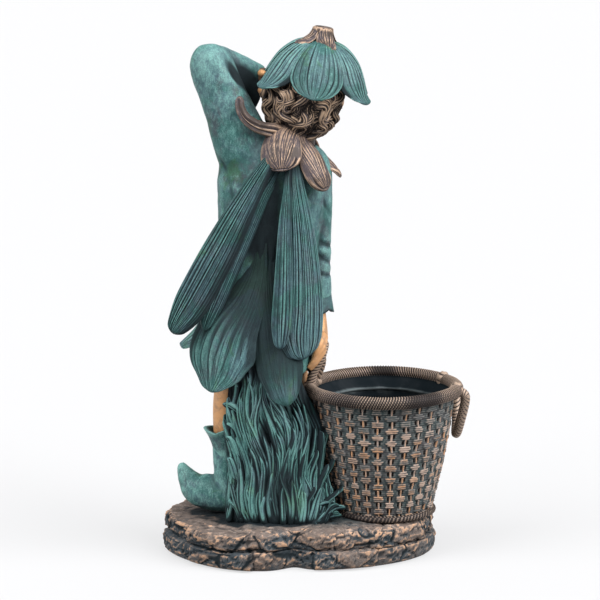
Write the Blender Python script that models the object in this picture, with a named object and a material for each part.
"""A cast fairy statue planter: a fairy in a petal hat stands on a rock with a basket for a plant.

Metres, +Z up. The origin is on the underside of the rock. The fairy's back, with the wings, looks along +Y, and
the basket is on the fairy's right, at -X. The cast work is one solid: every form below is modelled by itself, a
little way into its neighbours, and one skin is then drawn round all of them.
"""

import math

import bmesh
import bpy
import numpy as np

# Rock
ROCK_LENGTH = 0.262
ROCK_DEPTH = 0.196
ROCK_HEIGHT = 0.040
ROCK_CENTRE_Y = 0.006
STONE_STEP = 0.0035
EDGE_ROUND = 0.005
STONES_AROUND = 11

# Fairy, from the soles to the tip of the hat's stalk; her rows of numbers below are drawn for a height of 0.460
FAIRY_HEIGHT = 0.460
FAIRY_SCALE = FAIRY_HEIGHT / 0.460
LEAF_THICKNESS = 0.0045
LEAF_RIDGE = 0.0008
WING_THICKNESS = 0.0075
WING_RIDGE = 0.0012
FINGER_RADIUS = 0.0036
GRASS_THICKNESS = 0.0075

# Petal hat
HAT_PETALS = 6
HAT_TILT = math.radians(9)
CALYX_LOBES = 5

# Basket
BASKET_X = -0.079
BASKET_Y = 0.022
BASKET_HEIGHT = 0.1187
BASKET_FOOT_RADIUS = 0.0450
BASKET_MOUTH_RADIUS = 0.0700
BASKET_SWELL = 0.0025
BASKET_WALL = 0.0052
BASKET_FLOOR = 0.010
BAND_HEIGHT = 0.017
BAND_STEP = 0.0022
STAKES = 30
WEFT_ROWS = 18
WEAVE_DEPTH = 0.0011
RIM_ROPE_RADIUS = 0.0061
HANDLE_ROPE_RADIUS = 0.0046
HANDLE_KNOT_RADIUS = 0.0068
HANDLE_DROP = 0.047
HANDLE_RISE = 0.020

# How far a form sinks into what carries it, so that the two join
BEDDING = 0.004

# Size of the grain that the forms are fused at, and triangles of the fused casting
GRAIN = 0.0014
FACETS = 9600

GRASS_SEED = 7
HAIR_SEED = 11

PATINA = (0.075, 0.170, 0.165, 1.0)


def smooth(rows, count):
    """Rows of numbers read at even steps along a Catmull-Rom curve through them."""
    rows = np.asarray(rows, float)
    at = np.linspace(0, len(rows) - 1, count)
    first = np.minimum(at.astype(int), len(rows) - 2)
    part = (at - first)[:, None]
    padded = np.vstack([2 * rows[0] - rows[1], rows, 2 * rows[-1] - rows[-2]])
    a, b, c, d = (padded[first + k] for k in range(4))
    return b + 0.5 * part * (c - a + part * (2 * a - 5 * b + 4 * c - d + part * (3 * (b - c) + d - a)))


def unit(vectors):
    return vectors / np.maximum(np.linalg.norm(vectors, axis=-1, keepdims=True), 1e-12)


def frames(path, outward):
    """Sideways and outward unit vectors across a path; outward is one direction or one for each point."""
    along = unit(np.gradient(path, axis=0))
    side = unit(np.cross(np.broadcast_to(outward, path.shape), along))
    return side, np.cross(along, side)


def posed(rows):
    """Rows that start with x, y, z above the rock, at the fairy's true size and place."""
    rows = np.asarray(rows, float) * FAIRY_SCALE
    rows[:, 2] += ROCK_HEIGHT
    return rows


def solid(rings, closed=False):
    """A form skinned over rings of points: its vertices and triangles. Fans fill the end rings of an open one."""
    rings = np.asarray(rings, float)
    count, sides = rings.shape[:2]
    index = np.arange(count * sides).reshape(count, sides)
    here = index if closed else index[:-1]
    there = np.roll(index, -1, axis=0)[:len(here)]
    corners = (here, np.roll(here, -1, axis=1), np.roll(there, -1, axis=1), there)
    a, b, c, d = (corner.reshape(-1) for corner in corners)
    faces = [np.stack([a, b, c], axis=1), np.stack([a, c, d], axis=1)]
    points = [rings.reshape(-1, 3)]
    if not closed:
        points.append(rings[[0, -1]].mean(axis=1))
        for tip, ring, step in ((count * sides, index[0], -1), (count * sides + 1, index[-1], 1)):
            faces.append(np.stack([np.full(sides, tip), ring, np.roll(ring, -1)][::step], axis=1))
    points, faces = np.vstack(points), np.vstack(faces)
    a, b, c = (points[faces[:, k]] for k in range(3))
    if np.einsum("ij,ij->", a, np.cross(b, c)) < 0:
        faces = faces[:, ::-1]
    return points, faces


def limb(rows, outward, count, sides):
    """A rounded form along a path. Each row is x, y, z, half width and half depth."""
    rows = smooth(rows, count)
    side, out = frames(rows[:, :3], outward)
    turn = np.linspace(0, math.tau, sides, endpoint=False)
    across = rows[:, 3, None, None] * side[:, None] * np.cos(turn)[None, :, None]
    through = rows[:, 4, None, None] * out[:, None] * np.sin(turn)[None, :, None]
    return solid(rows[:, None, :3] + across + through)


def leaf(rows, outward, count, sides, thickness, ridges=0, ridge=0.0):
    """A leaf along a path. Each row is x, y, z, half width and how far its edges stand proud of its middle."""
    rows = smooth(rows, count)
    side, out = frames(rows[:, :3], outward)
    turn = np.linspace(0, math.tau, sides, endpoint=False)
    v, up = np.cos(turn), np.sin(turn)
    lift = rows[:, 4, None] * v**2 + thickness / 2 * up
    lift += ridge * np.cos(ridges * math.pi * v) * (up > 0.1) * np.minimum(rows[:, 3, None] / 0.012, 1)
    across = rows[:, 3, None, None] * side[:, None] * v[None, :, None]
    return solid(rows[:, None, :3] + across + lift[:, :, None] * out[:, None])


def rock_outline(turn):
    """Distance from the rock's centre to its edge: an ellipse with two soft bays where its lobes meet."""
    half = np.array([ROCK_LENGTH, ROCK_DEPTH]) / 2
    ellipse = 1 / np.hypot(np.cos(turn) / half[0], np.sin(turn) / half[1])
    front_bay = np.exp(-(((turn - math.radians(86)) / 0.15) ** 2))
    back_bay = np.exp(-(((turn - math.radians(262)) / 0.22) ** 2))
    lobe = 0.10 * np.exp(-(((turn - math.radians(58)) / 0.45) ** 2))
    return ellipse * (1 + lobe - 0.13 * front_bay - 0.08 * back_bay)


def stone_shift(turn, layer):
    """Radial shift of the stone at each direction of a layer, the same right across a stone."""
    stone = np.floor((turn / math.tau + 0.37 * layer) * STONES_AROUND)
    return STONE_STEP * np.sin(stone * 2.4 + layer * 1.7)


def rock():
    """Two layers of split stone with a joint between them, rising a little from the edge to the middle."""
    turn = np.linspace(0, math.tau, 56, endpoint=False)
    edge = rock_outline(turn)
    # Share of the height, edge rounds inside the outline, layer, and how much its stones break the outline
    layers = (
        (-0.06, 1.0, 0, 0), (0.00, 0.8, 0, 0), (0.11, 0.0, 0, 1), (0.38, 0.0, 0, 1), (0.46, 0.6, 1, 1),
        (0.74, 0.3, 1, 1), (0.84, 1.0, 1, 1), (0.92, 2.4, 1, 0), (1.00, 5.6, 1, 0),
    )
    rings = []
    for share, inset, layer, broken in layers:
        reach = edge - inset * EDGE_ROUND + stone_shift(turn, layer) * broken
        level = np.full_like(turn, share * ROCK_HEIGHT)
        rings.append(np.stack([reach * np.cos(turn), ROCK_CENTRE_Y + reach * np.sin(turn), level], axis=1))
    return [solid(rings)]


def foot_and_leg(foot, shaft, leg):
    """A boot with a curled toe and a turned-out top, and the bare leg above it."""
    return [
        limb(posed(foot), (0, 0, 1), 12, 12),
        limb(posed(shaft), (0, 1, 0), 9, 12),
        limb(posed(leg), (0, 1, 0), 6, 12),
    ]


def legs():
    left_foot = (
        (0.054, 0.030, 0.012, 0.006, 0.008),
        (0.061, 0.028, 0.014, 0.013, 0.0145),
        (0.074, 0.023, 0.0155, 0.0155, 0.0170),
        (0.088, 0.018, 0.0165, 0.0150, 0.0175),
        (0.099, 0.014, 0.0195, 0.0135, 0.0160),
        (0.1065, 0.011, 0.0270, 0.0100, 0.0110),
        (0.1115, 0.009, 0.0355, 0.0065, 0.0070),
        (0.1140, 0.008, 0.0425, 0.0030, 0.0032),
    )
    left_shaft = (
        (0.066, 0.026, 0.012, 0.0135, 0.0135),
        (0.067, 0.025, 0.035, 0.0130, 0.0135),
        (0.068, 0.024, 0.058, 0.0130, 0.0135),
        (0.070, 0.024, 0.074, 0.0165, 0.0160),
        (0.0725, 0.024, 0.081, 0.0200, 0.0175),
    )
    left_leg = ((0.0700, 0.024, 0.066, 0.012, 0.012), (0.0705, 0.026, 0.105, 0.0125, 0.0125),
                (0.060, 0.030, 0.150, 0.015, 0.015))
    right_foot = (
        (-0.002, 0.016, 0.012, 0.006, 0.008),
        (-0.003, 0.008, 0.014, 0.013, 0.0145),
        (-0.005, -0.006, 0.0155, 0.0155, 0.0170),
        (-0.007, -0.022, 0.0165, 0.0150, 0.0175),
        (-0.009, -0.034, 0.0195, 0.0135, 0.0160),
        (-0.010, -0.042, 0.0270, 0.0100, 0.0110),
        (-0.011, -0.047, 0.0355, 0.0065, 0.0070),
        (-0.0115, -0.050, 0.0425, 0.0030, 0.0032),
    )
    right_shaft = (
        (-0.004, 0.004, 0.012, 0.0135, 0.0135),
        (-0.004, 0.003, 0.035, 0.0130, 0.0135),
        (-0.003, 0.002, 0.058, 0.0130, 0.0135),
        (-0.003, 0.001, 0.074, 0.0160, 0.0165),
        (-0.003, 0.000, 0.081, 0.0175, 0.0200),
    )
    right_leg = ((-0.003, 0.002, 0.066, 0.012, 0.012), (0.001, 0.006, 0.105, 0.0125, 0.0125),
                 (0.014, 0.014, 0.150, 0.015, 0.015))
    return foot_and_leg(left_foot, left_shaft, left_leg) + foot_and_leg(right_foot, right_shaft, right_leg)


def tunic():
    body = (
        (0.002, 0.004, 0.354, 0.016, 0.015),
        (0.012, 0.007, 0.344, 0.037, 0.023),
        (0.024, 0.010, 0.322, 0.052, 0.030),
        (0.0275, 0.014, 0.290, 0.0505, 0.031),
        (0.031, 0.018, 0.250, 0.047, 0.030),
        (0.035, 0.022, 0.210, 0.046, 0.032),
        (0.040, 0.026, 0.170, 0.051, 0.040),
        (0.042, 0.028, 0.138, 0.052, 0.043),
        (0.042, 0.028, 0.130, 0.036, 0.032),
    )
    petals = {
        "back_left": ((0.038, 0.040, 0.268, 0.008, 0.0), (0.041, 0.0465, 0.238, 0.0115, -0.001),
                      (0.051, 0.0545, 0.208, 0.0190, -0.005), (0.066, 0.062, 0.182, 0.0275, -0.009),
                      (0.075, 0.066, 0.160, 0.0315, -0.011), (0.0795, 0.067, 0.142, 0.0250, -0.007),
                      (0.0830, 0.066, 0.1305, 0.0140, -0.002), (0.0855, 0.0655, 0.1235, 0.004, 0.0)),
        "back_right": ((0.029, 0.040, 0.264, 0.008, 0.0), (0.0295, 0.0470, 0.240, 0.0110, -0.001),
                       (0.0285, 0.0545, 0.212, 0.0150, -0.003), (0.0215, 0.0620, 0.172, 0.0220, -0.006),
                       (0.0175, 0.0700, 0.144, 0.0215, -0.006), (0.0140, 0.0750, 0.124, 0.0140, -0.003),
                       (0.0115, 0.0765, 0.1125, 0.005, 0.0)),
        "left": ((0.066, 0.014, 0.225, 0.018, -0.003), (0.085, 0.011, 0.196, 0.029, -0.010),
                 (0.098, 0.009, 0.174, 0.026, -0.009), (0.108, 0.007, 0.161, 0.013, -0.004),
                 (0.1130, 0.006, 0.155, 0.004, 0.0)),
        "right": ((-0.004, 0.012, 0.222, 0.014, -0.002), (-0.008, 0.008, 0.190, 0.020, -0.006),
                  (-0.009, 0.006, 0.162, 0.020, -0.005), (-0.008, 0.005, 0.146, 0.010, -0.002),
                  (-0.007, 0.005, 0.140, 0.004, 0.0)),
        "front_right": ((0.014, -0.006, 0.225, 0.016, -0.002), (0.008, -0.018, 0.190, 0.024, -0.006),
                        (0.004, -0.026, 0.160, 0.026, -0.007), (0.003, -0.030, 0.134, 0.018, -0.004),
                        (0.004, -0.031, 0.122, 0.005, 0.0)),
        "front_left": ((0.050, -0.010, 0.225, 0.019, -0.002), (0.056, -0.023, 0.190, 0.028, -0.007),
                       (0.061, -0.031, 0.160, 0.030, -0.008), (0.064, -0.035, 0.134, 0.020, -0.004),
                       (0.065, -0.036, 0.119, 0.005, 0.0)),
    }
    facing = {"back_left": (0.45, 1, 0.1), "back_right": (-0.15, 1, 0.1), "left": (1, 0.05, 0.5),
              "right": (-1, 0, 0.2), "front_right": (-0.35, -1, 0.2), "front_left": (0.35, -1, 0.2)}
    forms = [limb(posed(body), (0, 1, 0), 20, 24)]
    for side, rows in petals.items():
        forms.append(leaf(posed(rows), facing[side], 16, 36, LEAF_THICKNESS, 5, LEAF_RIDGE))
    return forms


def arms():
    raised = (
        (0.034, 0.010, 0.312, 0.028, 0.022),
        (0.052, 0.010, 0.345, 0.0280, 0.0225),
        (0.065, 0.007, 0.378, 0.0240, 0.0210),
        (0.0755, 0.002, 0.403, 0.0220, 0.0195),
        (0.0830, -0.003, 0.422, 0.0210, 0.0190),
        (0.0850, -0.005, 0.436, 0.0165, 0.0150),
        (0.0855, -0.006, 0.4435, 0.0080, 0.0075),
    )
    bent = (
        (0.094, -0.004, 0.434, 0.008, 0.007),
        (0.084, -0.010, 0.427, 0.014, 0.0165),
        (0.068, -0.020, 0.416, 0.0145, 0.0200),
        (0.054, -0.027, 0.404, 0.0145, 0.0235),
        (0.044, -0.031, 0.397, 0.0145, 0.0240),
        (0.042, -0.032, 0.396, 0.0095, 0.0190),
    )
    hanging = (
        (-0.004, 0.006, 0.345, 0.012, 0.014),
        (-0.011, 0.005, 0.328, 0.018, 0.019),
        (-0.0155, 0.003, 0.300, 0.0155, 0.018),
        (-0.0165, 0.000, 0.260, 0.0135, 0.0165),
        (-0.0175, -0.003, 0.222, 0.0120, 0.0155),
        (-0.018, -0.003, 0.195, 0.0135, 0.0170),
        (-0.019, -0.002, 0.184, 0.0145, 0.0180),
    )
    wrist = ((-0.019, -0.002, 0.190, 0.0075, 0.0080), (-0.0215, 0.003, 0.172, 0.0070, 0.0075),
             (-0.023, 0.010, 0.160, 0.0085, 0.0110))
    palm = ((0.052, -0.034, 0.402, 0.006, 0.008), (0.044, -0.030, 0.403, 0.006, 0.012),
            (0.037, -0.020, 0.404, 0.006, 0.0150), (0.034, -0.010, 0.404, 0.005, 0.0150))
    forms = [
        limb(posed(raised), (0, 1, 0), 16, 20),
        limb(posed(bent), (0, 0, 1), 14, 20),
        limb(posed(hanging), (0, 1, 0), 16, 16),
        limb(posed(wrist), (0, 1, 0), 6, 12),
        limb(posed(palm), (0, 0, 1), 6, 12),
    ]
    for k in range(4):
        level = 0.4155 - 0.0083 * k
        reach = (0.0, 0.004, 0.003, -0.002)[k]
        finger = ((0.035, -0.020, level, 1, 1), (0.0365, -0.008, level, 1, 1),
                  (0.0345, reach, level + 0.001, 0.9, 0.9), (0.031, 0.004 + reach, level + 0.001, 0.5, 0.5))
        forms.append(finger_form(finger))
        drop = 0.0065 * k
        bent_in = 0.5 * drop
        grip = ((-0.024 + 0.3 * drop, 0.008, 0.161 - drop, 1, 1), (-0.020 + bent_in, 0.020, 0.158 - drop, 1, 1),
                (-0.0125 + bent_in, 0.026, 0.150 - drop, 0.95, 0.95),
                (-0.0085 + bent_in, 0.024, 0.142 - drop, 0.6, 0.6))
        forms.append(finger_form(grip))
    return forms


def finger_form(rows):
    """A finger. Each row is x, y, z and its half width and half depth as shares of FINGER_RADIUS."""
    rows = np.array(rows, float)
    return limb(np.hstack([posed(rows[:, :3]), rows[:, 3:] * FINGER_RADIUS]), (0, 0, 1), 8, 10)


def wings():
    """Four folded wings that hang from between the shoulders."""
    blades = {
        "far_left": ((0.0140, 0.036, 0.352, 0.0045, 0), (0.0281, 0.045, 0.3400, 0.0065, -0.001),
                     (0.0524, 0.055, 0.3003, 0.0123, -0.003), (0.0749, 0.0605, 0.2585, 0.0164, -0.004),
                     (0.0950, 0.0630, 0.2208, 0.0172, -0.004), (0.1053, 0.0635, 0.2018, 0.0158, -0.003),
                     (0.1145, 0.0630, 0.1870, 0.0110, -0.002), (0.1190, 0.0620, 0.1790, 0.0040, 0)),
        "left": ((0.0140, 0.032, 0.346, 0.0040, 0), (0.0240, 0.039, 0.3250, 0.0060, -0.001),
                 (0.0350, 0.0445, 0.3060, 0.0075, -0.002), (0.0470, 0.049, 0.2802, 0.0090, -0.003),
                 (0.0655, 0.0545, 0.2383, 0.0098, -0.003), (0.0777, 0.0570, 0.2102, 0.0100, -0.003),
                 (0.0855, 0.0575, 0.1925, 0.0075, -0.002), (0.0900, 0.0575, 0.1815, 0.0030, 0)),
        "right": ((0.0100, 0.038, 0.352, 0.0030, 0), (0.0112, 0.0480, 0.3207, 0.0036, -0.001),
                  (0.0140, 0.0560, 0.2810, 0.0062, -0.001), (0.0150, 0.0620, 0.2469, 0.0080, -0.002),
                  (0.0164, 0.0670, 0.2118, 0.0094, -0.003), (0.0178, 0.0700, 0.1888, 0.0094, -0.003),
                  (0.0185, 0.0715, 0.1745, 0.0070, -0.002), (0.0187, 0.0715, 0.1660, 0.0030, 0)),
        "far_right": ((0.0070, 0.036, 0.352, 0.0055, 0), (0.0045, 0.0450, 0.3221, 0.0080, -0.002),
                      (-0.0005, 0.0515, 0.2806, 0.0128, -0.004), (-0.0028, 0.0565, 0.2389, 0.0175, -0.006),
                      (-0.0028, 0.0605, 0.2017, 0.0206, -0.007), (-0.0009, 0.0635, 0.1785, 0.0212, -0.006),
                      (-0.0010, 0.0645, 0.1640, 0.0165, -0.003), (-0.0026, 0.0640, 0.1545, 0.0060, 0)),
    }
    facing = {"far_left": (0.15, 1, 0.15), "left": (-0.25, 1, 0.1), "right": (0.1, 1, 0.15),
              "far_right": (-0.2, 1, 0.15)}
    return [leaf(posed(rows), facing[side], 20, 36, WING_THICKNESS, 4, WING_RIDGE)
            for side, rows in blades.items()]


def collar():
    """Six leaves round the neck; the left one curls up past the raised arm."""
    leaves = {
        "back": ((0.006, 0.012, 0.368, 0.008, 0), (0.0145, 0.028, 0.3655, 0.0150, -0.003),
                 (0.0180, 0.041, 0.3560, 0.0190, -0.006), (0.0185, 0.0480, 0.3450, 0.0195, -0.0065),
                 (0.0180, 0.0510, 0.3370, 0.0150, -0.005), (0.0175, 0.0520, 0.3310, 0.0060, -0.001)),
        "back_right": ((0.000, 0.012, 0.364, 0.006, 0), (-0.0035, 0.027, 0.3540, 0.0105, -0.002),
                       (-0.0115, 0.036, 0.3420, 0.0140, -0.004), (-0.0175, 0.040, 0.3290, 0.0145, -0.0045),
                       (-0.0220, 0.041, 0.3185, 0.0110, -0.003), (-0.0245, 0.041, 0.3110, 0.0040, -0.001)),
        "right": ((-0.002, 0.002, 0.350, 0.007, 0), (-0.016, 0.000, 0.341, 0.0125, -0.002),
                  (-0.027, 0.000, 0.331, 0.0125, -0.003), (-0.0345, 0.000, 0.323, 0.008, -0.001),
                  (-0.0380, 0.000, 0.318, 0.0035, 0)),
        "front_right": ((0.002, -0.004, 0.358, 0.007, 0), (-0.004, -0.020, 0.350, 0.0130, -0.002),
                        (-0.007, -0.030, 0.334, 0.0140, -0.003), (-0.008, -0.034, 0.318, 0.0080, -0.001),
                        (-0.008, -0.035, 0.311, 0.0035, 0)),
        "front_left": ((0.008, -0.004, 0.358, 0.007, 0), (0.020, -0.016, 0.352, 0.0130, -0.002),
                       (0.030, -0.026, 0.338, 0.0140, -0.003), (0.036, -0.031, 0.322, 0.0080, -0.001),
                       (0.038, -0.032, 0.315, 0.0035, 0)),
        "left": ((0.008, 0.014, 0.362, 0.006, 0), (0.0228, 0.028, 0.3680, 0.0082, 0.001),
                 (0.0399, 0.033, 0.3725, 0.0076, 0.001), (0.0504, 0.033, 0.3795, 0.0068, 0.001),
                 (0.0561, 0.031, 0.3885, 0.0054, 0.001), (0.0553, 0.027, 0.3970, 0.0026, 0)),
    }
    facing = {"back": (0.2, 1, 0.8), "back_right": (-0.6, 0.8, 0.6), "right": (-0.8, 0, 1),
              "front_right": (-0.2, -1, 0.8), "front_left": (0.3, -1, 0.8), "left": (0.35, 1, 0.1)}
    return [leaf(posed(rows), facing[side], 14, 20, LEAF_THICKNESS) for side, rows in leaves.items()]


FACE_TURN = math.radians(48)


def skull_centre():
    return np.array([-0.0055, -0.002, 0.396])


def skull_half():
    return np.array([0.0335, 0.0365, 0.0390])


def face_relief(turn, rise):
    """Height of the features over the skull, at a turn from the face's middle and a rise above it, in degrees."""
    bumps = (
        (0, 11, 30, 6, 0.0010),
        (20, 3, 10, 7, -0.0034),
        (20, 2, 6.5, 4.5, 0.0026),
        (0, 2, 5, 12, 0.0034),
        (0, -9, 5.5, 5, 0.0052),
        (31, -16, 14, 12, 0.0028),
        (0, -22, 10, 3, 0.0018),
        (0, -28, 8, 3, 0.0016),
        (0, -41, 14, 8, 0.0036),
    )
    height = np.zeros(np.broadcast(turn, rise).shape)
    for at, level, wide, tall, rises in bumps:
        height += rises * np.exp(-(((np.abs(turn) - at) / wide) ** 2) - ((rise - level) / tall) ** 2)
    return height


def head():
    half = skull_half()
    rise = np.radians(np.linspace(-84, 60, 41))
    turn = np.linspace(0, math.tau, 64, endpoint=False)
    signed = np.degrees((turn + math.pi) % math.tau - math.pi)
    narrow = 1 - 0.20 * np.clip(-np.sin(rise), 0, 1)[:, None] ** 2
    skull = np.stack([
        half[0] * narrow * np.cos(rise)[:, None] * np.sin(turn),
        -half[1] * narrow * np.cos(rise)[:, None] * np.cos(turn),
        np.broadcast_to(half[2] * np.sin(rise)[:, None], (len(rise), len(turn))),
    ], axis=-1)
    skull += unit(skull) * face_relief(signed[None, :], np.degrees(rise)[:, None])[:, :, None]
    cos, sin = math.cos(FACE_TURN), math.sin(FACE_TURN)
    turned = skull @ np.array([[cos, -sin, 0], [sin, cos, 0], [0, 0, 1]])
    rings = [posed(ring + skull_centre()) for ring in turned]
    neck = ((0.004, 0.006, 0.338, 0.017, 0.016), (0.000, 0.003, 0.360, 0.0155, 0.0155),
            (-0.006, -0.002, 0.385, 0.019, 0.020))
    return [solid(rings), limb(posed(neck), (0, 1, 0), 6, 12)]


def on_scalp(turn, rise, out):
    """A point over the skull, out of its surface; turn is measured from the back of the statue towards +X."""
    half = skull_half() + out[..., None]
    return skull_centre() + half * np.stack(
        [np.cos(rise) * np.sin(turn), np.cos(rise) * np.cos(turn), np.sin(rise)], axis=-1)


def hair():
    """Locks that curl one way and the other over the skull's back and sides, in rows from the hat to the nape."""
    chance = np.random.default_rng(HAIR_SEED)
    forms = []
    for row, (level, count) in enumerate(((0.10, 10), (-0.35, 10), (-0.75, 7))):
        for k in range(count):
            start = -0.85 + 3.45 * (k + 0.5 * (row % 2)) / count
            bend = (1 if (k + row) % 2 else -1) * chance.uniform(1.6, 2.6)
            step = np.linspace(0, 1, 6)
            heading = -math.pi / 2 + bend * (step - 0.35)
            length = 0.55
            turn = start + np.cumsum(np.cos(heading)) * length / len(step) / math.cos(level)
            rise = level - 0.05 + np.cumsum(np.sin(heading)) * length / len(step)
            path = on_scalp(turn, np.clip(rise, -1.4, 0.6), 0.0025 - 0.003 * step)
            thick = 0.0052 * np.interp(step, (0, 0.3, 0.8, 1), (0.7, 1, 0.8, 0.35))
            rows = np.column_stack([path, thick, thick * 0.85])
            forms.append(limb(posed(rows), (0, 0, 1), 12, 8))
    return forms


def hat_top():
    return np.array([-0.0225, 0.000, 0.460])


def hat_point(radius, drop, turn):
    """A point of the hat, at a radius from its leaning axis and a drop below its top, with turn 0 at the back."""
    across = np.stack([np.sin(turn) * radius, np.cos(turn) * radius], axis=-1)
    lean = np.array([math.cos(HAT_TILT), math.sin(HAT_TILT)])
    x = across[..., 0] * lean[0] + drop * lean[1]
    z = across[..., 0] * lean[1] - drop * lean[0]
    return hat_top() + np.stack([x, across[..., 1], z], axis=-1)


def hat():
    petal = ((0.006, 0.0125, 0.006, 0), (0.024, 0.0170, 0.013, -0.002), (0.0370, 0.0275, 0.020, -0.005),
             (0.0460, 0.041, 0.0250, -0.008), (0.0500, 0.0525, 0.0185, -0.005), (0.0530, 0.0585, 0.0085, -0.001),
             (0.0550, 0.061, 0.003, 0))
    lobe = ((0.004, 0.008, 0.006, 0), (0.011, 0.009, 0.0085, -0.001), (0.016, 0.0125, 0.0085, -0.001),
            (0.0205, 0.0160, 0.0055, 0), (0.0230, 0.0180, 0.002, 0))
    forms = []
    for k in range(HAT_PETALS):
        turn = -math.tau * k / HAT_PETALS
        inner = 0.0016 * (k % 2)
        forms.append(hat_leaf(petal, turn, inner, 16, 36, LEAF_RIDGE))
    for k in range(CALYX_LOBES):
        turn = math.radians(-28) - math.tau * k / CALYX_LOBES
        forms.append(hat_leaf(lobe, turn, -0.0014, 8, 12, 0))
    stalk = [(*hat_point(0, drop, 0), r, r) for drop, r in
             ((0.016, 0.0115), (0.010, 0.0108), (0.004, 0.0103), (0.000, 0.0098))]
    crown = [(*hat_point(0, drop, 0), r, r * 0.98) for drop, r in
             ((0.047, 0.036), (0.044, 0.0405), (0.037, 0.0400), (0.027, 0.0335), (0.019, 0.022), (0.0145, 0.010))]
    forms.append(limb(posed(stalk), (0, 1, 0), 6, 16))
    forms.append(limb(posed(crown), (0, 1, 0), 12, 24))
    return forms


def hat_leaf(profile, turn, inner, count, sides, ridge):
    """A leaf down the hat's side. Each row of its profile is radius, drop, half width and edge lift."""
    rows = np.array([(*hat_point(r - inner, drop + inner, turn), w, lift) for r, drop, w, lift in profile])
    outward = [hat_point(r + 0.01, drop - 0.012, turn) - hat_point(r, drop, turn) for r, drop, _, _ in profile]
    return leaf(posed(rows), unit(smooth(outward, count)), count, sides, LEAF_THICKNESS * 0.8, 5, ridge)


def basket_radius(share):
    """Outer radius of the wall at a share of its height, a little fuller than a straight cone."""
    full = BASKET_MOUTH_RADIUS - 0.4 * RIM_ROPE_RADIUS
    return BASKET_FOOT_RADIUS + (full - BASKET_FOOT_RADIUS) * share + BASKET_SWELL * np.sin(math.pi * share)


def ring_at(radius, level, turn):
    return np.stack([BASKET_X + radius * np.cos(turn), BASKET_Y + radius * np.sin(turn),
                     np.broadcast_to(level, turn.shape)], axis=-1)


def rim_level():
    return ROCK_HEIGHT + BASKET_HEIGHT


def basket():
    """The woven wall round a hollow with a smooth band under its rim, and the rim of twisted rope."""
    fine = 4
    turn = np.linspace(0, math.tau, fine * STAKES, endpoint=False)
    rings = [ring_at(BASKET_FOOT_RADIUS, ROCK_HEIGHT - BEDDING, turn)]
    for share in np.linspace(0, 1, fine * WEFT_ROWS + 1)[1:-1]:
        weave = WEAVE_DEPTH * np.sin(math.pi * WEFT_ROWS * share) * np.cos(turn * STAKES / 2)
        rings.append(ring_at(basket_radius(share) + weave, ROCK_HEIGHT + share * BASKET_HEIGHT, turn))
    rings.append(ring_at(BASKET_MOUTH_RADIUS - 0.3 * RIM_ROPE_RADIUS, rim_level(), turn))
    floor = ROCK_HEIGHT + BASKET_FLOOR
    lip = rim_level() - RIM_ROPE_RADIUS - BAND_HEIGHT
    well = float(basket_radius((lip - ROCK_HEIGHT) / BASKET_HEIGHT)) - BASKET_WALL
    mouth = BASKET_MOUTH_RADIUS - 0.95 * RIM_ROPE_RADIUS
    inside = (
        (mouth + 0.15 * RIM_ROPE_RADIUS, rim_level()),
        (mouth - 0.15 * RIM_ROPE_RADIUS, rim_level() - 0.6 * RIM_ROPE_RADIUS),
        (well - BAND_STEP, lip + 0.7 * BAND_STEP), (well, lip), (BASKET_FOOT_RADIUS - BASKET_WALL, floor),
    )
    rings.extend(ring_at(radius, level, turn) for radius, level in inside)
    around = np.linspace(0, math.tau, 4 * STAKES, endpoint=False)[:, None]
    section = np.linspace(0, math.tau, 12, endpoint=False)
    radius = BASKET_MOUTH_RADIUS + RIM_ROPE_RADIUS * np.cos(section)
    rope = np.stack([BASKET_X + radius * np.cos(around), BASKET_Y + radius * np.sin(around),
                     rim_level() + RIM_ROPE_RADIUS * np.sin(section) + 0 * around], axis=-1)
    return [solid(rings), solid(rope, closed=True)]


def rim_point(degrees, out=0.0, up=0.0):
    """A point of the rim's middle line, moved out by rope radii and up by a length."""
    at = math.radians(degrees)
    radius = BASKET_MOUTH_RADIUS + out * RIM_ROPE_RADIUS
    return (BASKET_X + radius * math.cos(at), BASKET_Y + radius * math.sin(at), rim_level() + up)


def handles():
    """Two rope loops: one lifted into the fairy's hand, the other let down outside the rim."""
    grip = posed([(-0.024, 0.020, 0.160)])[0]
    behind = grip + FAIRY_SCALE * np.array([0.006, 0.010, -0.010])
    before = grip + FAIRY_SCALE * np.array([0.004, -0.014, -0.006])
    inner = [rim_point(2), rim_point(3, -1.0, 0.9 * HANDLE_RISE), behind, grip, before,
             rim_point(-21, -1.2, HANDLE_RISE), rim_point(-22)]
    outer = [rim_point(171), rim_point(170, 1.5, -0.13 * HANDLE_DROP), rim_point(175, 1.0, -0.64 * HANDLE_DROP),
             rim_point(186, 0.65, -HANDLE_DROP), rim_point(202, 1.3, -0.77 * HANDLE_DROP),
             rim_point(212, 1.6, -0.26 * HANDLE_DROP), rim_point(214)]
    forms = []
    for points in (inner, outer):
        rows = [(*p, HANDLE_ROPE_RADIUS, HANDLE_ROPE_RADIUS) for p in points]
        forms.append(limb(rows, (0.3, 0.1, 1), 28, 10))
        for foot in (points[0], points[-1]):
            knot = [np.array(foot) + (0, 0, rise * HANDLE_KNOT_RADIUS) for rise in (-1.0, -0.5, 0.5, 1.1)]
            wide = [share * HANDLE_KNOT_RADIUS for share in (0.45, 0.9, 1.0, 0.5)]
            forms.append(limb(np.column_stack([knot, wide, wide]), (0, 1, 0), 6, 12))
    return forms


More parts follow.
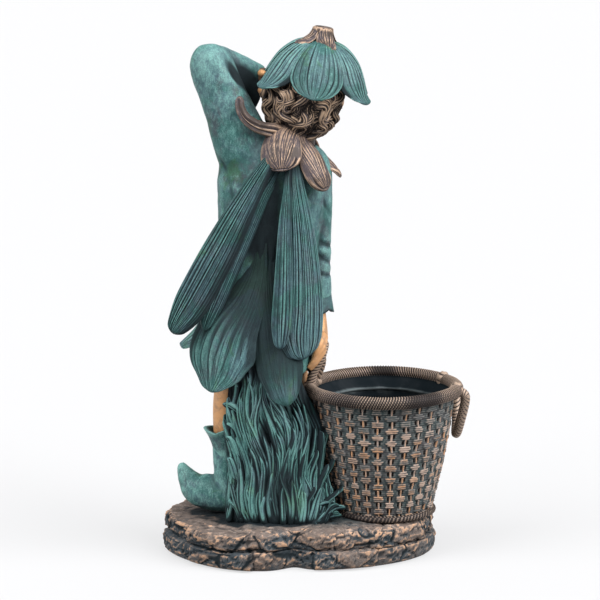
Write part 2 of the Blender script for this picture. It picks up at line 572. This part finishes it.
def grass():
    """A clump behind the legs: a solid heart with three layers of blades that fan out from it."""
    chance = np.random.default_rng(GRASS_SEED)
    heart = ((0.021, 0.050, -BEDDING, 0.050, 0.031), (0.022, 0.050, 0.015, 0.048, 0.028),
             (0.027, 0.050, 0.045, 0.045, 0.022), (0.033, 0.050, 0.080, 0.040, 0.018),
             (0.036, 0.050, 0.112, 0.035, 0.015), (0.036, 0.050, 0.135, 0.026, 0.010))
    # Blades, level and distance of their roots, middle and half spread of roots and tips, height of tips
    layers = (
        (10, 0.056, 0.068, 0.030, 0.036, 0.036, 0.042, 0.092, 0.134),
        (11, 0.020, 0.076, 0.026, 0.046, 0.028, 0.053, 0.052, 0.100),
        (10, -0.005, 0.082, 0.021, 0.052, 0.017, 0.062, 0.020, 0.060),
    )
    forms = [limb(posed(heart), (0, 1, 0), 14, 24)]
    for count, level, near, root_middle, root_half, tip_middle, tip_half, side_top, top in layers:
        for k in range(count):
            share = 2 * (k + 0.5 + chance.uniform(-0.2, 0.2)) / count - 1
            tip = top + (side_top - top) * share**2 + chance.uniform(-0.008, 0.006)
            root = level * (1 - 0.5 * share**2) if level > 0 else level
            rows = []
            for t, wide in ((0, 0.7), (0.35, 1), (0.7, 0.85), (1, 0.25)):
                x = root_middle + share * root_half
                x += (tip_middle - root_middle + share * (tip_half - root_half)) * t**2
                y = near - 0.024 * share**2 + 0.004 * t**2 - 0.006 * t
                rows.append((x, y, root + (tip - root) * t, 0.0064 * wide, 0.0))
            forms.append(leaf(posed(rows), (0.9 * share, 1, 0.2), 10, 10, GRASS_THICKNESS))
    return forms


def patina():
    material = bpy.data.materials.new("patinated_resin")
    material.use_nodes = True
    shader = material.node_tree.nodes["Principled BSDF"]
    shader.inputs["Base Color"].default_value = PATINA
    shader.inputs["Roughness"].default_value = 0.55
    shader.inputs["Metallic"].default_value = 0.25
    return material


def drawn(body):
    """The body's mesh with its modifiers carried out."""
    return bpy.data.meshes.new_from_object(body.evaluated_get(bpy.context.evaluated_depsgraph_get()))


def outer_skin(whole):
    """Only the largest closed surface of a mesh: the gaps shut in between forms are filled, as in a casting."""
    mesh = bmesh.new()
    mesh.from_mesh(whole)
    shells, seen = [], set()
    for face in mesh.faces:
        if face in seen:
            continue
        seen.add(face)
        shell = [face]
        for one in shell:
            for edge in one.edges:
                fresh = [near for near in edge.link_faces if near not in seen]
                seen.update(fresh)
                shell.extend(fresh)
        shells.append(shell)
    shells.sort(key=len)
    bmesh.ops.delete(mesh, geom=[face for shell in shells[:-1] for face in shell], context="FACES")
    bmesh.ops.triangulate(mesh, faces=mesh.faces[:])
    mesh.to_mesh(whole)
    mesh.free()
    return whole


def flat_foot(whole):
    """Cut the rock off level at the ground and close it."""
    mesh = bmesh.new()
    mesh.from_mesh(whole)
    cut = bmesh.ops.bisect_plane(
        mesh, geom=mesh.verts[:] + mesh.edges[:] + mesh.faces[:], dist=1e-6,
        plane_co=(0, 0, 0), plane_no=(0, 0, -1), clear_outer=True)
    rim = [item for item in cut["geom_cut"] if isinstance(item, bmesh.types.BMEdge)]
    for edge in rim:
        for vert in edge.verts:
            vert.co.z = 0.0
    bmesh.ops.holes_fill(mesh, edges=rim, sides=0)
    bmesh.ops.triangulate(mesh, faces=mesh.faces[:])
    bmesh.ops.recalc_face_normals(mesh, faces=mesh.faces[:])
    mesh.to_mesh(whole)
    mesh.free()
    return whole


def main():
    for old in list(bpy.data.objects):
        bpy.data.objects.remove(old)
    points, faces, first = [], [], 0
    for make in (rock, legs, tunic, arms, wings, collar, head, hair, hat, basket, handles, grass):
        for form_points, form_faces in make():
            points.append(form_points)
            faces.append(form_faces + first)
            first += len(form_points)
    mesh = bpy.data.meshes.new("fairy_planter")
    mesh.from_pydata(np.vstack(points).tolist(), [], np.vstack(faces).tolist())
    body = bpy.data.objects.new("fairy_planter", mesh)
    bpy.context.scene.collection.objects.link(body)
    # One even skin round all the overlapping forms
    skin = body.modifiers.new("skin", "REMESH")
    skin.mode = "VOXEL"
    skin.voxel_size = GRAIN
    body.data = outer_skin(drawn(body))
    body.modifiers.clear()
    body.data.materials.clear()
    body.data.materials.append(patina())
    fewer = body.modifiers.new("fewer", "DECIMATE")
    fewer.ratio = FACETS / len(body.data.polygons)
    body.data = flat_foot(drawn(body))
    body.modifiers.clear()
    body.data.shade_smooth()
    body.data.set_sharp_from_angle(angle=math.radians(40))


main()
